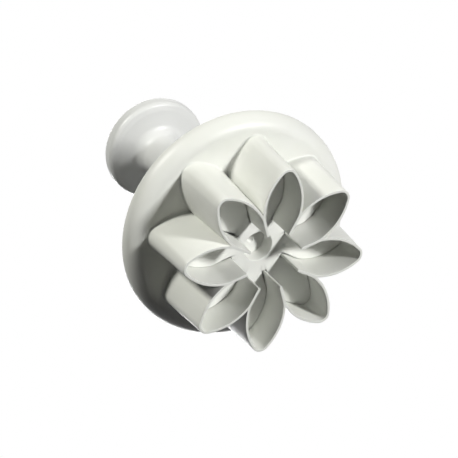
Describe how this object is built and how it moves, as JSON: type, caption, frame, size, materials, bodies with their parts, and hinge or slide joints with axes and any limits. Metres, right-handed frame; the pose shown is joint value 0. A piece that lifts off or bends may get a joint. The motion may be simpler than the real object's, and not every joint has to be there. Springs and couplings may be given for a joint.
{
  "type": "plunger cutter",
  "caption": "Flower-shaped plunger cutter: thin petal cutting wall under a round flange, with a sprung ejector plate on a stem pushed by a mushroom knob.",
  "frame": {"origin": "on the axis, in the plane of the cutting edge, which is the lowest point", "axes": "+Z along the plunger's axis, from the cutting edge towards the knob; +X through the tip of one petal"},
  "size_m": [0.0542, 0.0542, 0.0655],
  "materials": {
    "white_plastic": "satin white moulded plastic",
    "plate_plastic": "fine matt white moulded plastic",
    "knob_plastic": "satin white moulded plastic",
    "spring_steel": "drawn steel wire"
  },
  "bodies": {
    "cutter": {"cutter_body": "white_plastic", "return_spring": "spring_steel"},
    "plunger": {"ejector_plate": "plate_plastic", "plunger_stem": "white_plastic", "knob": "knob_plastic"}
  },
  "joints": [
    {"name": "plunge", "type": "slide", "parent": "cutter", "child": "plunger", "axis": [0, 0, -1], "range_m": [0, 0.009], "stiffness_N_per_m": 350, "springref_m": -0.006, "deforming": ["return_spring"]}
  ]
}
